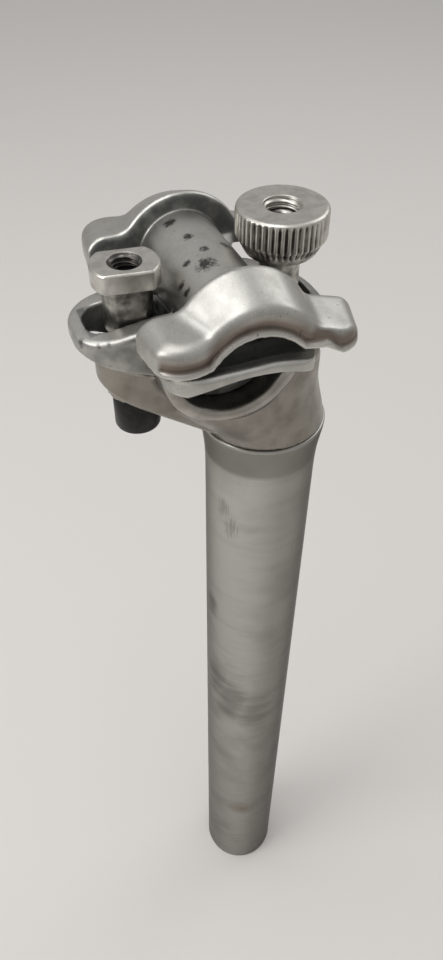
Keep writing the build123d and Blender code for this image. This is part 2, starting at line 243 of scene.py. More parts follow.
front_x = (stud_low[0] + stud_high[0]) / 2
stud_end, stud_top = stud_low[2], stud_high[2]
stud_rows = np.arange(stud_end, stud_top, THREAD_ROW)
stud_height = np.concatenate([[stud_end], stud_rows, [stud_top, stud_top]])[:, None]
chamfer = np.minimum(THREAD_R, THREAD_R - STUD_CHAMFER + (stud_top - stud_height))
stud_radius = THREAD_R - THREAD_DEPTH * (1 - thread(stud_height, angles(STUD_STEPS)))
stud_radius = np.minimum(stud_radius, chamfer)
stud_radius[[0, -1]] = 0.0
stud_mesh = ring_mesh("threaded_stud", stud_radius, stud_height, front_x)
stud = finish_piece(stud_mesh, "post", "front_stud")

# %% [markdown]
# ## The thumb nut
# A round nut for the fingers: a knurled band, a coned underside and a shank that runs in the front slot.
# Inside are a wider mouth and the thread over the stud. Its profile runs from the inside of its lower end
# outwards, up the band and down the mouth. A revolved curve would give the same form, but no rows to press
# a knurl into.

# %% Draw the thumb nut's profile
thumb_low, thumb_high = corners_mm("thumb_nut")
THUMB_R, BAND, BAND_CHAMFER, TOP_CHAMFER = 9.3, 6.4, 0.5, 0.6
CONE_R, CONE = 7.2, 3.0
THUMB_SHANK_R = 4.2
THUMB_MOUTH_R, THUMB_MOUTH = 3.8, 2.6
BORE_R = THREAD_R + 0.04
NUT_RUN = 0.6
NEAR, WELL_INSIDE = 0.01, 0.05

thumb_end, thumb_top = thumb_low[2], thumb_high[2]
band_end = thumb_top - BAND
cone_end = band_end - CONE
mouth_end = thumb_top - THUMB_MOUTH
thumb_rows = [
    (BORE_R, thumb_end, 0.2),
    (THUMB_SHANK_R, thumb_end, 0.4),
    (THUMB_SHANK_R, cone_end, 0.3),
    (CONE_R, cone_end, 0.5),
    (THUMB_R - BAND_CHAMFER, band_end, 0.4),
    (THUMB_R, band_end + BAND_CHAMFER, 0.4),
    (THUMB_R, thumb_top - BAND_CHAMFER, 0.4),
    (THUMB_R - TOP_CHAMFER, thumb_top, 0.4),
    (THUMB_MOUTH_R, thumb_top, 0.3),
    (THUMB_MOUTH_R, mouth_end, 0.1),
    (BORE_R, mouth_end, 0.1),
]
thumb_profile = short_runs(rounded(thumb_rows), NUT_RUN, THUMB_MOUTH_R + NEAR, stud_top)
thumb_r, thumb_z = thumb_profile[:, :1], thumb_profile[:, 1:]
print("rows in the thumb nut's profile:", len(thumb_profile))

# %% [markdown]
# ## Its knurl and threads
# The knurl was rolled, so each ridge is round and each groove is a sharp line: the radius falls by depth x
# (1 - |cos(n a / 2)|). The grooves fade out under the top edge, which keeps the bright scalloped rim. A
# bump in the material would leave the outline round. The deeper a point lies in its groove, the darker it is
# painted, with dirt and painted shade; the bore is painted dirty all over, and the underside below the band
# is painted shade all over.

# %% Knurl and thread the thumb nut
KNURL_COUNT = 44
KNURL_DEPTH, KNURL_FADE, KNURL_START = 0.65, 0.9, 0.45
BAND_REACH, BAND_TOP = 1.2, 0.2
MOUTH_START, BORE_START = 0.35, 0.15
# How dark the bore is painted with dirt, and the underside with painted shade.
BORE_GRIME, UNDERSIDE_SHADE = 0.7, 0.55
THUMB_STEPS = KNURL_COUNT * 10

thumb_turn = angles(THUMB_STEPS)
on_band = (thumb_r > THUMB_R - BAND_REACH) & (thumb_z < thumb_top - BAND_TOP)
fade = np.clip((thumb_top - KNURL_START - thumb_z) / KNURL_FADE, 0, 1)
groove = np.where(on_band, np.sqrt(fade) * (1 - np.abs(np.cos(KNURL_COUNT * thumb_turn / 2))), 0.0)
in_mouth = (np.abs(thumb_r - THUMB_MOUTH_R) < NEAR) & (thumb_z < thumb_top - MOUTH_START)
in_bore = (np.abs(thumb_r - BORE_R) < NEAR) & (thumb_z < mouth_end) & (thumb_z > stud_top + BORE_START)
bite = np.where(in_mouth | in_bore, thread(thumb_z, thumb_turn), 0.0)
thumb_radius = thumb_r - KNURL_DEPTH * groove - THREAD_DEPTH * bite
# The grooves are painted darker with dirt and painted shade, the bore with dirt.
thumb_dirt_and_shade = groove + np.where(thumb_r < THUMB_MOUTH_R - WELL_INSIDE, BORE_GRIME, 0.0)
# Painted shade: everything below the band is painted dark.
thumb_dirt_and_shade = np.where(thumb_z < band_end, np.maximum(thumb_dirt_and_shade, UNDERSIDE_SHADE), thumb_dirt_and_shade)
thumb_mesh = ring_mesh("knurled_thumb_nut", thumb_radius, thumb_z, front_x, thumb_dirt_and_shade)
thumb_nut = finish_piece(thumb_mesh, "thumb_nut", "thumb_nut")

# %% [markdown]
# ## The rear nut
# A turned nut with two milled flats, on its flange and on the shank that runs in the rear slot. It sits a
# little turned in the slot. Its profile is drawn like the thumb nut's, and the flats are milled off it
# afterwards.

# %% Draw the rear nut's profile
nut_low, nut_high = corners_mm("rear_nut")
screw_low, screw_high = corners_mm("rear_bolt")
NUT_FLANGE, NUT_FLANGE_R, NUT_EDGE = 4.0, 6.8, 0.35
NUT_SHANK_R = 5.0
NUT_MOUTH, NUT_MOUTH_R = 0.4, 3.4

rear_x = (nut_low[0] + nut_high[0]) / 2
nut_end, nut_top, screw_top = nut_low[2], nut_high[2], screw_high[2]
flange_end = nut_top - NUT_FLANGE
nut_rows = [
    (THREAD_R, nut_end, 0.1),
    (NUT_SHANK_R, nut_end, 0.4),
    (NUT_SHANK_R, flange_end, 0.2),
    (NUT_FLANGE_R, flange_end, 0.25),
    (NUT_FLANGE_R, nut_top - NUT_EDGE, 0.15),
    (NUT_FLANGE_R - NUT_EDGE, nut_top, 0.15),
    (NUT_MOUTH_R, nut_top, 0.15),
    (THREAD_R, nut_top - NUT_MOUTH, 0.1),
]
nut_profile = short_runs(rounded(nut_rows), NUT_RUN, THREAD_R + NEAR, screw_top)
nut_r, nut_z = nut_profile[:, :1], nut_profile[:, 1:]
print("rows in the rear nut's profile:", len(nut_profile))

# %% [markdown]
# ## Its flats and thread
# A ring with two flats has the radius min(R, F / |sin a|), where F is half the width over the flats. A soft
# minimum breaks the corners as milling and handling do, and no cut with a box is needed. Near the bore the
# ring stays round, so that the flats never reach the thread.

# %% Mill the flats and cut the thread
NUT_FLANGE_F, NUT_SHANK_F = 5.0, 4.2
NUT_TURN = math.radians(-8.0)
NUT_STEPS = 240
FLAT_POWER = 90.0
LEAST_FLAT, LEAST_WALL = 1.0, 0.15
ROUND_INSIDE = 0.3
# How dark the mouth is painted with dirt, and the shank under the flange with dirt and painted shade.
MOUTH_GRIME, SHANK_DIRT_AND_SHADE = 0.9, 0.6


def flatted(round_r, flat):
    """Soft minimum of the round and the two flats: (R^-p + (F / |sin a|)^-p)^(-1/p) with a high power p."""
    flats = flat / np.maximum(np.abs(np.sin(angles(NUT_STEPS) - NUT_TURN)), 1e-6)
    return (round_r**-FLAT_POWER + flats**-FLAT_POWER) ** (-1 / FLAT_POWER)


on_flange = nut_z > flange_end - NEAR
flat_depth = np.where(on_flange, NUT_FLANGE_R - NUT_FLANGE_F, NUT_SHANK_R - NUT_SHANK_F)
outside = nut_r > np.where(on_flange, NUT_MOUTH_R, THREAD_R) + ROUND_INSIDE
nut_radius = np.where(outside, flatted(nut_r, np.maximum(nut_r - flat_depth, LEAST_FLAT)), nut_r)
nut_radius = np.maximum(nut_radius, np.minimum(nut_r, NUT_MOUTH_R + LEAST_WALL))
in_thread = (np.abs(nut_r - THREAD_R) < NEAR) & (nut_z > screw_top) & (nut_z < nut_top - NUT_MOUTH)
nut_radius = nut_radius - np.where(in_thread, THREAD_DEPTH * thread(nut_z, angles(NUT_STEPS)), 0.0)
# The shank under the flange is painted darker, with dirt and painted shade.
nut_dirt_and_shade = np.where(on_flange, 0.0, SHANK_DIRT_AND_SHADE)
nut_dirt_and_shade = np.where(nut_r < NUT_MOUTH_R - WELL_INSIDE, MOUTH_GRIME, nut_dirt_and_shade)
nut_mesh = ring_mesh("flatted_nut", nut_radius, nut_z, rear_x, nut_dirt_and_shade)
rear_nut = finish_piece(nut_mesh, "post", "rear_nut")

# %% [markdown]
# ## The socket screw
# A black M6 cap screw, head down under the ear. Its hexagon socket has the radius (key / 2) / cos(a), with
# a folded into one sixth of a turn, and its shank is threaded like the stud. The rows run from the socket's
# floor out over the head and up the shank, so the hexagon is part of the same skin and needs no cut.

# %% Turn the socket screw
HEAD_R, HEAD_H, HEAD_CHAMFER, HEAD_EDGE = 5.0, 9.4, 0.6, 0.2
HEX_KEY, HEX_DEPTH, HEX_CHAMFER = 5.0, 3.2, 0.3
PLAIN_SHANK = 8.0
NECK = 0.1
SCREW_STEPS = 120

head_low = screw_low[2]
head_top = head_low + HEAD_H
hex_fold = (angles(SCREW_STEPS) + FULL_TURN / 12) % (FULL_TURN / 6) - FULL_TURN / 12
hexagon = HEX_KEY / 2 / np.cos(hex_fold)
ring = np.ones((1, SCREW_STEPS))
shank_height = np.arange(head_top, screw_top, THREAD_ROW)[:, None]
cut_in = np.clip((shank_height - head_top - PLAIN_SHANK) / PITCH, 0, 1)
shank_radius = THREAD_R - THREAD_DEPTH * cut_in * (1 - thread(shank_height, angles(SCREW_STEPS)))
screw_rows = [
    (0.0 * ring, head_low + HEX_DEPTH),
    (hexagon, head_low + HEX_DEPTH),
    (hexagon, head_low + HEX_CHAMFER),
    (hexagon + HEX_CHAMFER, head_low),
    ((HEAD_R - HEAD_CHAMFER) * ring, head_low),
    ((HEAD_R - HEAD_CHAMFER / 3) * ring, head_low + HEAD_CHAMFER / 4),
    (HEAD_R * ring, head_low + HEAD_CHAMFER),
    (HEAD_R * ring, head_top - HEAD_EDGE),
    ((HEAD_R - HEAD_EDGE) * ring, head_top),
    ((THREAD_R + NECK) * ring, head_top),
]
screw_radius = np.vstack([row for row, height in screw_rows] + [shank_radius, 0.0 * ring])
row_heights = [height for row, height in screw_rows]
screw_height = np.concatenate([row_heights, shank_height[:, 0], [screw_top]])[:, None]
screw_mesh = ring_mesh("socket_screw", screw_radius, screw_height, rear_x)
socket_screw = finish_piece(screw_mesh, "post", "rear_bolt")

# %% [markdown]
# ## The forgings
# The head and both halves of the clamp are forgings: they were pressed hot between two dies, so every edge
# and every inner corner is soft. A bevel would need clean edges, which a CAD mesh of loose triangles lacks.
# So a copy of each solid is merged, laid out again as an even net of small squares (a voxel remesh) and
# relaxed, which breaks the edges and moves the flat walls hardly at all.

# %% Lay the forgings out as even nets
def relaxed_copy(node, name, voxel, passes):
    """A merged copy of a CAD node, remeshed at the voxel size in mm and smoothed for that many passes."""
    mesh = frame["nodes"][node].data.copy()
    mesh.name = name
    shell = bmesh.new()
    shell.from_mesh(mesh)
    bmesh.ops.remove_doubles(shell, verts=shell.verts, dist=2 * MERGE_WITHIN * MM)
    shell.to_mesh(mesh)
    shell.free()
    source = bpy.data.objects.new(name + "_source", mesh)
    bpy.context.scene.collection.objects.link(source)
    net = source.modifiers.new("net", "REMESH")
    net.mode = "VOXEL"
    net.voxel_size = voxel * MM
    relax = source.modifiers.new("relax", "SMOOTH")
    relax.factor = 0.5
    relax.iterations = passes
    soft = bpy.data.meshes.new_from_object(source.evaluated_get(bpy.context.evaluated_depsgraph_get()))
    bpy.data.objects.remove(source)
    bpy.data.meshes.remove(mesh)
    soft.name = name
    soft.materials.clear()
    return soft


head_mesh = relaxed_copy("head", "forged_head", 0.4, 4)
clamp_mesh = relaxed_copy("upper_clamp", "arched_clamp", 0.34, 7)
cradle_mesh = relaxed_copy("lower_cradle", "rail_cradle", 0.34, 3)
print("net points:", [len(mesh.vertices) for mesh in (head_mesh, clamp_mesh, cradle_mesh)])

# %% [markdown]
# ## Working on a net
# The fine forms are pressed into the nets as arrays: read the points, move them, write them back. Sculpting
# by hand could not be repeated. Soft masks say where: they rise or fall in an S between two sizes in mm.
# Most are measured from the clamp's own axis, the axis of its joint in the frame: along is the distance to
# the front of it, across the distance from the middle plane.

# %% Net helpers
tilt = next(joint for joint in frame["joints"] if joint["name"] == "clamp_tilt")
CLAMP_X, _, TROUGH_Z = [round(value / MM, 3) for value in tilt["pos_m"]]


def read(mesh, what):
    """One vector of each point, its place (co) or its normal, as rows; places come in mm."""
    values = np.empty(len(mesh.vertices) * 3)
    mesh.vertices.foreach_get(what, values)
    return values.reshape(-1, 3) / (MM if what == "co" else 1)


def read_places(mesh):
    """The points in mm, and for each one how far it lies along, across and up the clamp."""
    points = read(mesh, "co")
    return points, points[:, 0] - CLAMP_X, np.abs(points[:, 1]), points[:, 2]


def neighbour_mean(mesh, values):
    """The mean of each point's neighbours along the net's edges, for one value or one vector a point."""
    edges = np.empty(len(mesh.edges) * 2, int)
    mesh.edges.foreach_get("vertices", edges)
    first, second = edges.reshape(-1, 2).T
    count = np.maximum(np.bincount(edges, minlength=len(values)), 1)
    total = np.zeros_like(values)
    np.add.at(total, first, values[second])
    np.add.at(total, second, values[first])
    return total / count.reshape((-1,) + (1,) * (values.ndim - 1))


print("the clamp's axis at x and z, mm:", CLAMP_X, TROUGH_Z)

# %% Soft masks
def ramp(values, low, high):
    """0 at low, 1 at high and an S-shaped rise between them: t^2 (3 - 2t)."""
    t = np.clip((values - low) / (high - low), 0, 1)
    return t * t * (3 - 2 * t)


def fall(values, low, high):
    """The ramp turned over: 1 at low and 0 at high."""
    return 1 - ramp(values, low, high)


print("a fall in five steps:", fall(np.linspace(0, 1, 5), 0, 1).round(2))

# %% [markdown]
# ## The rim of the trough
# The trough's rim was forged round, like a torus. Only there the net is relaxed further: each pass moves a
# point half of the way to the mean of its neighbours, times a mask that is 1 on the rim and falls to 0
# beside it.

# %% Round the rim
TROUGH_R, RIM_R, RIM_FADE = 12.0, 15.3, 1.5
RIM_ENDS = 12.5, 14.5
RIM_PASSES = 30

points, along, across, height = read_places(head_mesh)
from_trough = np.hypot(along, height - TROUGH_Z)
on_rim = ramp(across, *RIM_ENDS) * fall(from_trough, RIM_R, RIM_R + RIM_FADE)
for _ in range(RIM_PASSES):
    points += 0.5 * on_rim[:, None] * (neighbour_mean(head_mesh, points) - points)
head_mesh.vertices.foreach_set("co", (points * MM).ravel())
print("points on the rim:", int((on_rim > 0.5).sum()))

# %% [markdown]
# ## The parting step
# The two dies of the clamp did not meet quite true, and the flash was trimmed off: a step runs along the
# outer face of each jaw, a little above its lower edge and round the arch. The height above that edge is
# the smaller of two distances, from the jaw's floor and from the arch's circle. Above the land the face
# lies deeper by STEP x rise x fall, a sharp rise at the land and a slow fall up the jaw, so nothing grows
# past the CAD's box.

# %% Press the parting step into the jaws
ARCH_Z, ARCH_R = 276.2, 11.8
REAR_FLOOR, FRONT_FLOOR, FLOOR_BEND = 284.0, 281.6, (13.0, 17.0)
LAND, STEP, STEP_RISE, STEP_FADE = 0.8, 0.9, 0.6, 5.6
FACING, JAW_FACE = (0.3, 0.7), (21.5, 22.5)

points, along, across, height = read_places(clamp_mesh)
sideways = np.abs(read(clamp_mesh, "normal")[:, 1])
jaw_floor = REAR_FLOOR + (FRONT_FLOOR - REAR_FLOOR) * ramp(along, *FLOOR_BEND)
over_edge = np.minimum(height - jaw_floor, np.hypot(along, height - ARCH_Z) - ARCH_R)
on_face = ramp(sideways, *FACING) * ramp(across, *JAW_FACE)
rise = ramp(over_edge, LAND, LAND + STEP_RISE)
step_depth = STEP * on_face * rise * fall(over_edge, LAND + STEP_RISE, STEP_FADE)
points[:, 1] -= np.sign(points[:, 1]) * step_depth
clamp_mesh.vertices.foreach_set("co", (points * MM).ravel())
print("parting step, deepest mm:", step_depth.max().round(2))

# %% [markdown]
# ## The tray's lip
# Seen from the side, the outer lip of each rail tray is no straight bar: its lower edge arches up in the
# middle and drops at the front, and its upper edge falls away to the front and rises a little to the rear.
# The points of the lip are moved up or down by a share that goes from its lower edge to its upper edge, and
# the move fades out before the rail's groove. The arch is a squared cosine along the lip.

# %% Bend the tray's lip
TRAY_FLOOR, TRAY_LIP = 279.8, 283.1
LIP_OUTSIDE = 22.5, 26.0
LIP_ARCH, ARCH_MIDDLE, ARCH_HALF = 1.3, -2.0, 13.0
LOWER_DROP, LOWER_DROP_RUN = 0.9, (4.0, 12.0)
UPPER_DROP, UPPER_DROP_RUN = 1.2, (2.0, 12.0)
REAR_RISE, REAR_RISE_RUN = 0.5, (9.0, 14.0)

points, along, across, height = read_places(cradle_mesh)
share = np.clip((height - TRAY_FLOOR) / (TRAY_LIP - TRAY_FLOOR), 0, 1)
arch_turn = np.clip((along - ARCH_MIDDLE) / ARCH_HALF, -1, 1) * math.pi / 2
lower_edge = LIP_ARCH * np.cos(arch_turn) ** 2 - LOWER_DROP * ramp(along, *LOWER_DROP_RUN)
upper_edge = REAR_RISE * ramp(-along, *REAR_RISE_RUN) - UPPER_DROP * ramp(along, *UPPER_DROP_RUN)
move = ramp(across, *LIP_OUTSIDE) * ((1 - share) * lower_edge + share * upper_edge)
points[:, 2] += move
cradle_mesh.vertices.foreach_set("co", (points * MM).ravel())
print("lip moved by mm:", move.min().round(2), "to", move.max().round(2))

# %% [markdown]
# ## Wear, painted shade and painted highlights
# The bend of the net says where dirt gathers and shade falls, and where handling polishes the metal and
# highlights show: a point whose neighbours lie outside it sits in a hollow, one whose neighbours lie inside
# it sits on an edge. Both are stored on the points: hollows are painted darker, with dirt and painted shade,
# and edges lighter, with wear and a painted highlight. The Pointiness of a Geometry node could be used
# instead, but a stored number can be measured, and spread as wide as wanted. Marks that lie in one place only
# are soft spots, listed as places and sizes in mm.

# %% Bend and spots
BEND_SPREAD = 4
STEEPEST = 98


def store_bend(mesh):
    """Stores hollow and edge, each from 0 to 1: the mean offset of the neighbours along the normal.

    The offset is averaged BEND_SPREAD times over the net, and divided by its STEEPEST percentile.
    """
    points, normals = read(mesh, "co"), read(mesh, "normal")
    bend = np.einsum("ij,ij->i", neighbour_mean(mesh, points) - points, normals)
    for _ in range(BEND_SPREAD):
        bend = neighbour_mean(mesh, bend)
    steepest = np.percentile(np.abs(bend), STEEPEST)
    store(mesh, "hollow", np.clip(bend / steepest, 0, 1))
    store(mesh, "edge", np.clip(-bend / steepest, 0, 1))
    print(mesh.name, "steepest bend, mm:", steepest.round(4))


def spots(points, places, stretch=(1.0, 1.0, 1.0)):
    """Soft spots: 1 - distance / size from the nearest of the places, rows of x, y, z and size in mm."""
    places = np.asarray(places, float)
    away = np.linalg.norm((points[:, None] - places[None, :, :3]) / np.asarray(stretch), axis=2)
    return np.clip(1 - away / places[None, :, 3], 0, 1).max(axis=1)


for mesh in (head_mesh, clamp_mesh, cradle_mesh):
    store_bend(mesh)

# %% [markdown]
# ## Dirt and painted shade on the head
# Black grease and painted shade fill the trough, the flat seats beside it hold some dirt, and a dark seam
# runs under the rim. The rim itself is rubbed bright and carries a painted highlight. All of these are rings
# about the trough's axis, so distances from it say where they lie. Painting by hand would do it too, but
# could not be repeated.

# %% Store the head's dirt, painted shade and painted highlight
SEAT_DIRT, SEAM_DIRT = 0.4, 0.8
TROUGH_SKIN, TROUGH_ENDS = (0.1, 0.5), (15.6, 16.2)
LEVEL, SEAT_START = (0.6, 0.9), (0.3, 1.1)
RIM_SIDES, RIM_START, RIM_EDGE = (12.0, 14.0), (0.0, 0.4), (-0.5, 0.0)
SEAM_OUT, SEAM_WIDTH = 0.3, (0.2, 0.8)

points, along, across, height = read_places(head_mesh)
past_trough = np.hypot(along, height - TROUGH_Z) - TROUGH_R
past_rim = past_trough + TROUGH_R - RIM_R
at_rim = ramp(across, *RIM_SIDES) * (height < TROUGH_Z)
# Grease and painted shade in the trough.
trough = fall(past_trough, *TROUGH_SKIN) * fall(across, *TROUGH_ENDS)
seats = ramp(read(head_mesh, "normal")[:, 2], *LEVEL) * ramp(past_rim, *SEAT_START)
seam = at_rim * fall(np.abs(past_rim - SEAM_OUT), *SEAM_WIDTH)
store(head_mesh, "dirt_and_shade", np.max([trough, SEAT_DIRT * seats, SEAM_DIRT * seam], axis=0))
# The rim: rubbed bright, and a painted highlight.
store(head_mesh, "rim", at_rim * ramp(past_trough, *RIM_START) * fall(past_rim, *RIM_EDGE))
head = finish_piece(head_mesh, "post", "head")

# %% [markdown]
# ## Dust and painted shade on the clamp
# Dust and painted shade darken every place that a rag and the light do not reach: the barrel's hollow, the
# slots, the underside of the arches and the barrel's flanks hold dust and painted shade, and the inner walls
# of the jaws, the sides of the loops and everything that faces down are painted shade. Each place is a mask
# of its own, and at each point the darkest one counts. The hollow above the parting step is painted brown,
# as painted shade for the dark reflection of the jaws' front faces.

# %% Dust and painted shade inside the barrel, the slots and the arches
BARREL_Z, HOLLOW_R, HOLLOW_SKIN, HOLLOW_ENDS = 285.0, 6.4, (0.2, 0.9), (23.0, 23.6)
SLOT_HALF, REAR_SLOT, FRONT_SLOT, SLOT_SKIN = 4.9, 25.3, 22.6, (0.1, 0.7)
SLOT_START, SLOT_TOP, SLOT_DUST_AND_SHADE = (8.6, 9.4), (282.0, 283.2), 0.8
ARCH_SKIN, ARCH_INSIDE, ARCH_OUTSIDE, ARCH_DUST_AND_SHADE = (0.2, 0.6), (14.0, 15.0), (25.0, 27.0), 0.9

points, along, across, height = read_places(clamp_mesh)
slot_end = np.where(along < 0, REAR_SLOT, FRONT_SLOT)
along = np.abs(along)
# Dust and painted shade in the barrel's hollow, the slots and under the arches.
inside = fall(np.hypot(along, height - BARREL_Z) - HOLLOW_R, *HOLLOW_SKIN) * fall(across, *HOLLOW_ENDS)
slot = fall(across - SLOT_HALF, *SLOT_SKIN) * fall(along - slot_end, *SLOT_SKIN)
slot = slot * ramp(along, *SLOT_START) * fall(height, *SLOT_TOP)
arch = fall(np.abs(np.hypot(along, height - ARCH_Z) - ARCH_R), *ARCH_SKIN)
arch = arch * ramp(across, *ARCH_INSIDE) * fall(across, *ARCH_OUTSIDE)
most_dust_and_shade = np.max([inside, SLOT_DUST_AND_SHADE * slot, ARCH_DUST_AND_SHADE * arch], axis=0)
print("dirty share inside:", (most_dust_and_shade > 0.5).mean().round(2))

# %% Dust and painted shade on the flanks, painted shade on the walls and the undersides
FLANK_ACROSS, FLANK_ALONG, FLANK_TOP, FLANK_DUST_AND_SHADE = (13.0, 15.5), (9.0, 11.0), (282.5, 286.5), 0.5
WALL_START, WALL_END, INWARD = (10.0, 12.0), (17.0, 18.0), (0.4, 0.9)
LOOP_START, LOOP_ACROSS, LOOP_TOP, LOOP_SIDE_SHADE = (9.0, 11.0), (10.5, 12.0), (280.5, 283.0), 0.55
DOWNWARD, BELOW_SHADE = (0.5, 0.9), 0.7

normals = read(clamp_mesh, "normal")
# Dust and painted shade low on the barrel's flanks.
flank = fall(across, *FLANK_ACROSS) * fall(along, *FLANK_ALONG) * fall(height, *FLANK_TOP)
# Painted shade on the inner walls of the jaws.
wall = ramp(-np.sign(points[:, 1]) * normals[:, 1], *INWARD)
wall = wall * ramp(across, *WALL_START) * fall(across, *WALL_END)
# Painted shade on everything that faces down.
below = ramp(-normals[:, 2], *DOWNWARD)
# Painted shade on the lower sides of the loops.
loop = ramp(along, *LOOP_START) * fall(across, *LOOP_ACROSS) * fall(height, *LOOP_TOP)
most_dust_and_shade = np.max([most_dust_and_shade, wall, FLANK_DUST_AND_SHADE * flank, BELOW_SHADE * below, LOOP_SIDE_SHADE * loop], axis=0)
store(clamp_mesh, "dirt_and_shade", most_dust_and_shade)
# The hollow above the parting step is painted brown: painted shade for the dark reflection of the jaws' front
# faces.
store(clamp_mesh, "painted_band_shade", step_depth / STEP)
print("dirty share in all:", (most_dust_and_shade > 0.5).mean().round(2))

# %% [markdown]
# ## Black blotches
# The top of the barrel is stained in black blotches, with a few small ones on the rear loop and the jaws.
# They are soft spots, drawn out along Z so that a place need not lie quite on the surface.

# %% Store the clamp's blotches
BLOTCH_STRETCH = (1.0, 1.0, 3.0)
BLOTCHES = [
    (-17.3, 11.6, 293.1, 2.4),
    (-16.2, 4.2, 293.5, 2.0),
    (-15.1, -1.7, 293.7, 1.7),
    (-16.6, -6.4, 293.4, 3.6),
    (-19.2, -3.1, 292.1, 1.5),
    (-9.7, -0.2, 292.4, 2.4),
    (-21.6, -6.2, 289.7, 1.4),
    (-21.5, -9.0, 289.8, 1.4),
    (-39.1, -7.9, 283.4, 1.4),
    (-37.2, -8.6, 283.4, 1.2),
    (-41.6, -4.8, 282.5, 1.6),
    (-28.2, -23.6, 287.5, 1.2),
    (-22.2, -23.3, 294.5, 1.2),
]
store(clamp_mesh, "blotch", spots(points, BLOTCHES, BLOTCH_STRETCH))
clamp = finish_piece(clamp_mesh, "clamp", "upper_clamp")

# %% [markdown]
# ## Dirt and painted shade on the cradle
# The half round is black with grease and painted shade, and the trays hold dust and painted shade up to
# their outer lips, which are rubbed clean.

# %% Store the cradle's dirt and painted shade
HALF_ROUND_END, TRAY_END = (11.0, 13.0), (24.0, 26.0)
TRAY_DUST_AND_SHADE = 0.6

across = read_places(cradle_mesh)[2]
# Grease and painted shade on the half round, dust and painted shade in the trays.
half_round = fall(across, *HALF_ROUND_END)
trays = TRAY_DUST_AND_SHADE * fall(across, *TRAY_END)
store(cradle_mesh, "dirt_and_shade", np.maximum(half_round, trays))
cradle = finish_piece(cradle_mesh, "clamp", "lower_cradle")

# %% [markdown]
# ## Marks and a painted highlight on the tube
# The tube has been pushed in and out of a bicycle: grey rubbed patches half way up, a smear above them, a
# few scratches near the top and one brown stain near the foot. They are soft spots on its net, most of them
# longer than wide. Below the matt flare the tube is painted a little lighter all round and lighter still on
# one side, as a painted highlight: a ramp on the cosine of the angle from that side. The collar's lip carries
# a painted highlight too.

# %% Store the tube's marks and its painted highlight
SMUDGE_STRETCH = (1.0, 1.0, 2.2)
SMUDGES = [
    (-13.5, -1.8, 181.0, 4.0),
    (-9.7, -9.5, 135.0, 10.0),
    (-3.2, -13.2, 127.0, 10.0),
    (-12.7, -4.8, 143.0, 7.0),
]
SCRATCH_STRETCH = (1.0, 1.0, 2.0)
SCRATCHES = [(-12.3, -5.9, 225.0, 4.5), (-10.9, -8.1, 219.0, 5.0)]
STAINS = [(-5.6, -12.4, 51.0, 8.0)]
# Painted highlight: the side it lies on, how far round it reaches, the share lighter all round and the lip's
# share.
HIGHLIGHT_SIDE, HIGHLIGHT_HALF = math.radians(-150.0), math.radians(65.0)
ALL_ROUND_LIGHTER, LIP_HIGHLIGHT = 0.35, 0.6
FLARE_EDGE, LIP_EDGE = (-0.6, 0.6), (-0.9, -0.5)

points = read(tube.data, "co")
store(tube.data, "smudge", spots(points, SMUDGES, SMUDGE_STRETCH))
store(tube.data, "scratch", spots(points, SCRATCHES, SCRATCH_STRETCH))
store(tube.data, "stain", spots(points, STAINS))
# A painted highlight on one side, over a lighter tone all round below the flare, and on the collar's lip.
from_side = np.arctan2(points[:, 1], points[:, 0]) - HIGHLIGHT_SIDE
highlight_side = ramp(np.cos(from_side), math.cos(HIGHLIGHT_HALF), 1.0)
below_flare = fall(points[:, 2] - (tube_top - FLARE), *FLARE_EDGE)
lip = ramp(points[:, 2] - tube_top, *LIP_EDGE)
lighter_and_highlight = below_flare * (ALL_ROUND_LIGHTER + (1 - ALL_ROUND_LIGHTER) * highlight_side)
lighter_and_highlight = np.maximum(lighter_and_highlight, LIP_HIGHLIGHT * lip)
store(tube.data, "lighter_and_highlight", lighter_and_highlight)
print("polish from", lighter_and_highlight.min().round(2), "to", lighter_and_highlight.max().round(2))

# %% [markdown]
# ## Colours and nodes
# Colours are written as the sRGB hex values a paint program shows, and one function turns them to the
# linear values that Blender calculates with. One function adds a node, sets its options and fills its
# inputs.

# %% Colour and node helpers
def to_linear(hex_colour):
    """sRGB to linear for each channel: c / 12.92 below 0.04045, else ((c + 0.055) / 1.055)^2.4."""
    c = np.array([int(hex_colour[i : i + 2], 16) for i in (1, 3, 5)]) / 255
    linear = np.where(c <= 0.04045, c / 12.92, ((c + 0.055) / 1.055) ** 2.4)
    return (*linear.tolist(), 1.0)


def per_mm(size):
    """Texture scale at which one feature is about this many millimetres wide."""
    return 1 / (size * MM)


def add(tree, kind, inputs=None, **options):
    """Adds one node: sets its options, then gives each named input a value or a link."""
    node = tree.nodes.new(kind)
    for option, value in options.items():
        setattr(node, option, value)
    for socket, value in (inputs or {}).items():
        if isinstance(value, bpy.types.NodeSocket):
            tree.links.new(value, node.inputs[socket])
        else:
            node.inputs[socket].default_value = value
    return node


print("mid grey in linear light:", round(to_linear("#808080")[0], 3))

# %% [markdown]
# ## Coat upon coat
# A surface is built up as it was in life: bare metal first, then coat upon coat of wear and dirt, each laid
# where its mask is high. A mask stored on the points has a soft, even edge; times a noise pattern it breaks
# up as real dirt does. A picture could be painted instead, but a pattern stays sharp from close by.

# %% Material helpers
def new_material(name, **constants):
    """A material with constant values on its shader's own sockets; returns it, its tree and its shader."""
    material = bpy.data.materials.new(name)
    material.use_nodes = True
    shader = material.node_tree.nodes["Principled BSDF"]
    for socket, value in constants.items():
        shader.inputs[socket.replace("_", " ")].default_value = value
    return material, material.node_tree, shader


def broken_mask(tree, name, pattern):
    """A mask stored on the points, times a pattern, so that its edge breaks up."""
    stored = add(tree, "ShaderNodeAttribute", attribute_name=name).outputs["Fac"]
    return add(tree, "ShaderNodeMath", {0: stored, 1: pattern}, operation="MULTIPLY").outputs["Value"]


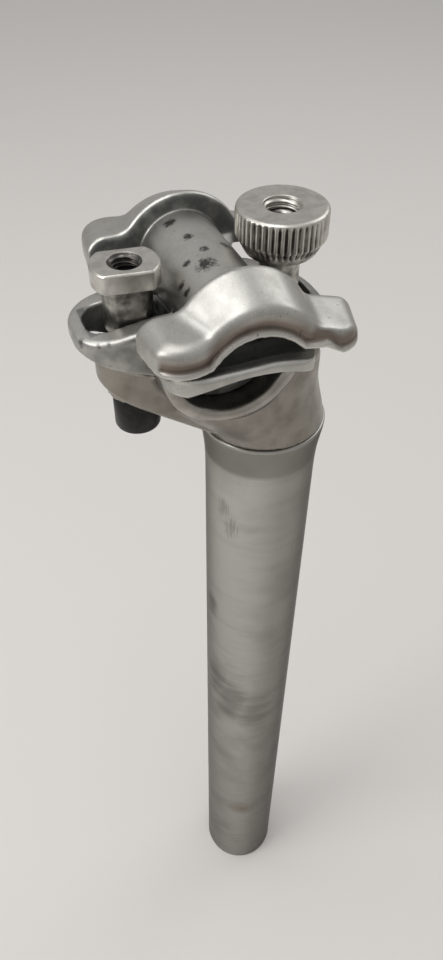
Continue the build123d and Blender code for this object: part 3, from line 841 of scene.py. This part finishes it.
def coat(tree, under, colour, mask, low, high, most=1.0):
    """Lays a colour over another where the mask rises from low to high, covering that share at most."""
    reach = {"Value": mask, "From Min": low, "From Max": high, "To Max": most}
    cover = add(tree, "ShaderNodeMapRange", reach).outputs["Result"]
    inputs = {"Factor": cover, "A": under, "B": to_linear(colour)}
    return add(tree, "ShaderNodeMix", inputs, data_type="RGBA").outputs[2]


# %% Sheen and dressing
CLOUD_RANGE = 0.3, 0.7


def give_sheen(tree, shader, colour, cloud, smooth, dull, pattern, strength, depth):
    """Links the colour, a roughness from smooth to dull with the cloud, and a relief with its depth in mm."""
    low, high = CLOUD_RANGE
    haze = {"Value": cloud, "From Min": low, "From Max": high, "To Min": smooth, "To Max": dull}
    rough = add(tree, "ShaderNodeMapRange", haze).outputs["Result"]
    relief = {"Height": pattern, "Strength": strength, "Distance": depth * MM}
    normal = add(tree, "ShaderNodeBump", relief).outputs["Normal"]
    for value, socket in ((colour, "Base Color"), (rough, "Roughness"), (normal, "Normal")):
        tree.links.new(value, shader.inputs[socket])


def dress(material, *pieces):
    """Gives the material to the pieces."""
    for piece in pieces:
        piece.data.materials.append(material)
    print(material.name, "nodes:", len(material.node_tree.nodes), "on", [piece.name for piece in pieces])


# %% [markdown]
# ## Drawn aluminium tube, satin
# The tube was drawn and then brushed along its length, so it has a soft grey sheen with faint upright
# lines. Rubbing left it darker and duller in clouds and in short level streaks. The marks stored on its net
# break up in those streaks, in slanted hairs or in the clouds. The lighter colour on one side and on the
# collar's lip is a painted highlight.

# %% Tube patterns
# A grey tint dims the shine at glancing angles, as a thin skin of oxide does.
tint = to_linear("#A0A0A0")
tube_metal, tree, shader = new_material("drawn_aluminium_satin", Metallic=1.0, Specular_Tint=tint)
place = add(tree, "ShaderNodeTexCoord").outputs["Object"]
upright = {"Vector": place, "Scale": (1.0, 1.0, 0.03)}
level = {"Vector": place, "Scale": (0.2, 0.2, 1.0)}
slant = {"Vector": place, "Rotation": (0.3, 0.45, 0.0), "Scale": (1.0, 1.0, 0.08)}
drawn, rubbed, scraped = [
    add(tree, "ShaderNodeMapping", turned).outputs["Vector"] for turned in (upright, level, slant)
]
# Real lines and hairs are finer than 0.45 mm: they are drawn that wide so that they show.
noises = [(drawn, 0.45, 3.0), (place, 16.0, 7.0), (rubbed, 3.5, 5.0), (scraped, 0.45, 2.0)]
lines, cloud, streaks, hairs = [
    add(tree, "ShaderNodeTexNoise", {"Vector": way, "Scale": per_mm(size), "Detail": detail}).outputs["Fac"]
    for way, size, detail in noises
]
print("tube patterns:", len(tree.nodes), "nodes")

# %% Tube metal and its marks
smudge = broken_mask(tree, "smudge", streaks)
scratch = broken_mask(tree, "scratch", hairs)
stain = broken_mask(tree, "stain", cloud)
lighter_and_highlight_mask = add(tree, "ShaderNodeAttribute", attribute_name="lighter_and_highlight").outputs["Fac"]
colour = coat(tree, to_linear("#93918C"), "#807E79", cloud, 0.42, 0.66, 0.5)
# Painted highlight: lighter on one side below the flare and on the collar's lip.
colour = coat(tree, colour, "#C2C0BC", lighter_and_highlight_mask, 0.0, 1.0, 0.9)
colour = coat(tree, colour, "#85837E", streaks, 0.48, 0.72, 0.22)
colour = coat(tree, colour, "#8C8A86", cloud, 0.5, 0.7, 0.4)
colour = coat(tree, colour, "#62605D", smudge, 0.12, 0.42, 0.45)
colour = coat(tree, colour, "#5F5C58", scratch, 0.26, 0.42, 0.35)
colour = coat(tree, colour, "#7A6650", stain, 0.1, 0.45, 0.5)
give_sheen(tree, shader, colour, cloud, smooth=0.26, dull=0.34, pattern=lines, strength=0.03, depth=0.05)
dress(tube_metal, tube)

# %% [markdown]
# ## Forged aluminium, polished and worn
# The head was polished after forging and has since gone dull; its warm grey is partly a painted reflection of
# warm, dark surroundings. Its edges are rubbed bright and carry a painted highlight, and black grease and
# painted shade sit in the trough and in the inner corners.

# %% Head metal
head_metal, tree, shader = new_material("forged_aluminium_polished", Metallic=1.0)
place = add(tree, "ShaderNodeTexCoord").outputs["Object"]
# The real grain is finer than 0.4 mm: it is drawn that coarse so that it shows.
cloud, grain = [
    add(tree, "ShaderNodeTexNoise", {"Vector": place, "Scale": per_mm(size), "Detail": detail}).outputs["Fac"]
    for size, detail in ((5.0, 7.0), (0.4, 2.0))
]
wear_and_highlight, rubbed, dirt_and_shade_mask = [broken_mask(tree, mask, cloud) for mask in ("edge", "rim", "dirt_and_shade")]
hollow = add(tree, "ShaderNodeAttribute", attribute_name="hollow").outputs["Fac"]
# A warm grey, partly a painted reflection of warm, dark surroundings.
colour = coat(tree, to_linear("#938E86"), "#7B756D", cloud, 0.42, 0.66, 0.7)
# Worn edges painted lighter: wear and a painted highlight.
colour = coat(tree, colour, "#D0CBC4", wear_and_highlight, 0.25, 0.6, 0.8)
# The rim, rubbed bright and painted lighter still as a painted highlight.
colour = coat(tree, colour, "#C6C1BA", rubbed, 0.3, 0.65, 0.6)
# Hollows painted darker: dirt and painted shade.
colour = coat(tree, colour, "#3A3631", hollow, 0.25, 0.9, 0.7)
# Grease and painted shade in the trough, dirt on the seats and in the seam under the rim.
colour = coat(tree, colour, "#555350", dirt_and_shade_mask, 0.12, 0.5, 0.95)
give_sheen(tree, shader, colour, cloud, smooth=0.26, dull=0.4, pattern=grain, strength=0.1, depth=0.04)
dress(head_metal, head)

# %% [markdown]
# ## Forged aluminium, bead blasted and worn
# Blasting left the clamp with a fine sparkling grain. Handling rubbed the edges bright, and they carry a
# painted highlight too; knocks left small dark pits, the barrel's top is stained in black blotches, and the
# hollow above the parting step is painted brown, as painted shade. Old dirt is dust and no metal: where the
# dust and painted shade lie thick, the surface goes grey and matt, so the metallic value falls there.

# %% Clamp patterns
clamp_metal, tree, shader = new_material("forged_aluminium_blasted")
place = add(tree, "ShaderNodeTexCoord").outputs["Object"]
# Blasted grain is finer than 0.3 mm: it is drawn that coarse so that it shows.
grain, pits, soot, cloud = [
    add(tree, "ShaderNodeTexNoise", {"Vector": place, "Scale": per_mm(size), "Detail": detail}).outputs["Fac"]
    for size, detail in ((0.3, 3.0), (1.3, 4.0), (0.7, 5.0), (4.5, 7.0))
]
wear_and_highlight = broken_mask(tree, "edge", cloud)
black = broken_mask(tree, "blotch", soot)
dirt_and_shade_mask = broken_mask(tree, "dirt_and_shade", cloud)
hollow, painted_band_shade = [
    add(tree, "ShaderNodeAttribute", attribute_name=mask).outputs["Fac"] for mask in ("hollow", "painted_band_shade")
]
print("clamp patterns and masks:", len(tree.nodes), "nodes")

# %% Clamp metal
DIRT_AND_SHADE_RANGE = 0.12, 0.5
DUST_AND_SHADE_METAL = 0.3

colour = coat(tree, to_linear("#BBBAB5"), "#A5A39D", cloud, 0.42, 0.66, 0.7)
colour = coat(tree, colour, "#E4E1DB", grain, 0.55, 0.72, 0.3)
# Worn edges painted lighter: wear and a painted highlight.
colour = coat(tree, colour, "#E0DCD6", wear_and_highlight, 0.25, 0.6, 0.7)
# Painted shade: brown in the hollow above the parting step.
colour = coat(tree, colour, "#75665C", painted_band_shade, 0.15, 0.8, 0.85)
colour = coat(tree, colour, "#5A554E", pits, 0.68, 0.76, 0.8)
colour = coat(tree, colour, "#33312E", black, 0.17, 0.36, 0.9)
# Hollows painted darker: dirt and painted shade.
colour = coat(tree, colour, "#45423E", hollow, 0.3, 0.95, 0.8)
# Dust and painted shade: grey, and less metallic where they lie thick.
colour = coat(tree, colour, "#565855", dirt_and_shade_mask, *DIRT_AND_SHADE_RANGE, 0.95)
low, high = DIRT_AND_SHADE_RANGE
dust_and_shade_reach = {"Value": dirt_and_shade_mask, "From Min": low, "From Max": high, "To Min": 1.0, "To Max": DUST_AND_SHADE_METAL}
tree.links.new(add(tree, "ShaderNodeMapRange", dust_and_shade_reach).outputs["Result"], shader.inputs["Metallic"])
give_sheen(tree, shader, colour, cloud, smooth=0.32, dull=0.45, pattern=grain, strength=0.3, depth=0.05)
dress(clamp_metal, clamp, cradle)

# %% [markdown]
# ## Turned steel, dull plated
# The nuts and the stud came off a lathe: fine rings about their axis, a thin plating gone dull and spotted,
# and black dirt in the knurl and the threads, darkened further there and under the nuts by painted shade. The
# rings are noise along one line, the distance from the axis.

# %% Nut metal
nut_metal, tree, shader = new_material("turned_steel_dull", Metallic=1.0)
place = add(tree, "ShaderNodeTexCoord").outputs["Object"]
spotted = {"Vector": place, "Scale": per_mm(2.5), "Detail": 7.0}
cloud = add(tree, "ShaderNodeTexNoise", spotted).outputs["Fac"]
from_axis = add(tree, "ShaderNodeAttribute", attribute_name="from_axis").outputs["Fac"]
# Real tool marks are finer than 0.35 mm: they are drawn that wide so that they show.
turned = {"W": from_axis, "Scale": per_mm(0.35), "Detail": 2.0}
rings = add(tree, "ShaderNodeTexNoise", turned, noise_dimensions="1D").outputs["Fac"]
dirt_and_shade_mask = broken_mask(tree, "dirt_and_shade", cloud)
colour = coat(tree, to_linear("#CDCAC4"), "#A8A49E", cloud, 0.4, 0.68, 0.8)
# Dirt, and painted shade in the grooves and under the nuts.
colour = coat(tree, colour, "#3A3835", dirt_and_shade_mask, 0.14, 0.42, 0.9)
give_sheen(tree, shader, colour, cloud, smooth=0.28, dull=0.42, pattern=rings, strength=0.12, depth=0.03)
dress(nut_metal, thumb_nut, rear_nut, stud)

# %% [markdown]
# ## Black oxide steel
# The socket screw was blackened in a hot bath: a thin matt black skin that takes only a soft shine.

# %% Screw metal
screw_metal, tree, shader = new_material("black_oxide_steel", Metallic=0.6, Roughness=0.42)
place = add(tree, "ShaderNodeTexCoord").outputs["Object"]
mottled = {"Vector": place, "Scale": per_mm(1.5), "Detail": 5.0}
cloud = add(tree, "ShaderNodeTexNoise", mottled).outputs["Fac"]
colour = coat(tree, to_linear("#1B1B1C"), "#2C2B2A", cloud, *CLOUD_RANGE)
tree.links.new(colour, shader.inputs["Base Color"])
dress(screw_metal, socket_screw)

# %% [markdown]
# ## Floor and light
# A pale matt floor, a broad soft lamp overhead, one to the left and a weaker one to the right. The room is
# a plain gradient, light above and darker at the horizon, because bare metal shows nothing but what stands
# round it. A picture of a real room would bring in things that do not belong to the part.

# %% Floor
HALF_FLOOR = 6.0
floor_corners = [(x * HALF_FLOOR, y * HALF_FLOOR, 0) for x, y in ((-1, -1), (1, -1), (1, 1), (-1, 1))]
floor_mesh = bpy.data.meshes.new("floor")
floor_mesh.from_pydata(floor_corners, [], [(0, 1, 2, 3)])
floor = bpy.data.objects.new("floor", floor_mesh)
bpy.context.scene.collection.objects.link(floor)
floor_paint = new_material("pale_floor", Base_Color=to_linear("#DAD7D3"), Roughness=0.9)[0]
dress(floor_paint, floor)

# %% World
ROOM_STRENGTH = 0.62
world = bpy.data.worlds.new("studio")
bpy.context.scene.world = world
world.use_nodes = True
tree = world.node_tree
direction = add(tree, "ShaderNodeTexCoord").outputs["Generated"]
upward = add(tree, "ShaderNodeSeparateXYZ", {"Vector": direction}).outputs["Z"]
colour = coat(tree, to_linear("#D6D5D2"), "#F4F4F4", upward, 0.0, 0.9)
background = tree.nodes["Background"]
tree.links.new(colour, background.inputs["Color"])
background.inputs["Strength"].default_value = ROOM_STRENGTH
print("world nodes:", len(tree.nodes))

# %% Lamps
CLAMP_PLACE = Vector((-0.014, 0.0, 0.28))


def soft_lamp(name, place, size, power):
    """A square lamp of that size in metres, at a place in metres, facing the clamp."""
    lamp = bpy.data.lights.new(name, "AREA")
    lamp.shape = "SQUARE"
    lamp.size = size
    lamp.energy = power
    stand = bpy.data.objects.new(name, lamp)
    stand.location = place
    stand.rotation_euler = (CLAMP_PLACE - Vector(place)).to_track_quat("-Z", "Y").to_euler()
    bpy.context.scene.collection.objects.link(stand)
    print(name, "watts:", power)


soft_lamp("key_lamp", (-0.25, 0.05, 1.2), 0.8, 4.0)
soft_lamp("right_lamp", (0.8, 0.3, 0.95), 0.6, 1.6)
soft_lamp("left_lamp", (-0.85, 0.0, 0.75), 0.5, 3.3)

# %% [markdown]
# ## The camera
# It stands where the photographer stood: close, above the clamp and to the rear of its near side. A short
# lens from so near makes the tube run together towards its foot. It could be aimed at a point, but a
# heading, a pitch and a roll are the three angles that a photographer sets.

# %% Camera
CAMERA_PLACE = Vector((-64.75, -128.33, 366.88)) * MM
HEADING = math.radians(23.0)
PITCH_DOWN = math.radians(44.81)
ROLL = math.radians(0.6)

camera = bpy.data.cameras.new("camera")
camera.sensor_width = 36.0
camera.lens = 29.25
camera.clip_start = 0.005
camera.clip_end = 50.0
holder = bpy.data.objects.new("camera", camera)
turn = Matrix.Rotation(-HEADING, 4, "Z") @ Matrix.Rotation(math.pi / 2 - PITCH_DOWN, 4, "X")
holder.matrix_world = Matrix.Translation(CAMERA_PLACE) @ turn @ Matrix.Rotation(ROLL, 4, "Z")
bpy.context.scene.collection.objects.link(holder)
bpy.context.scene.camera = holder
bpy.context.scene.view_settings.view_transform = "Standard"
print("camera at, m:", [round(value, 3) for value in CAMERA_PLACE])
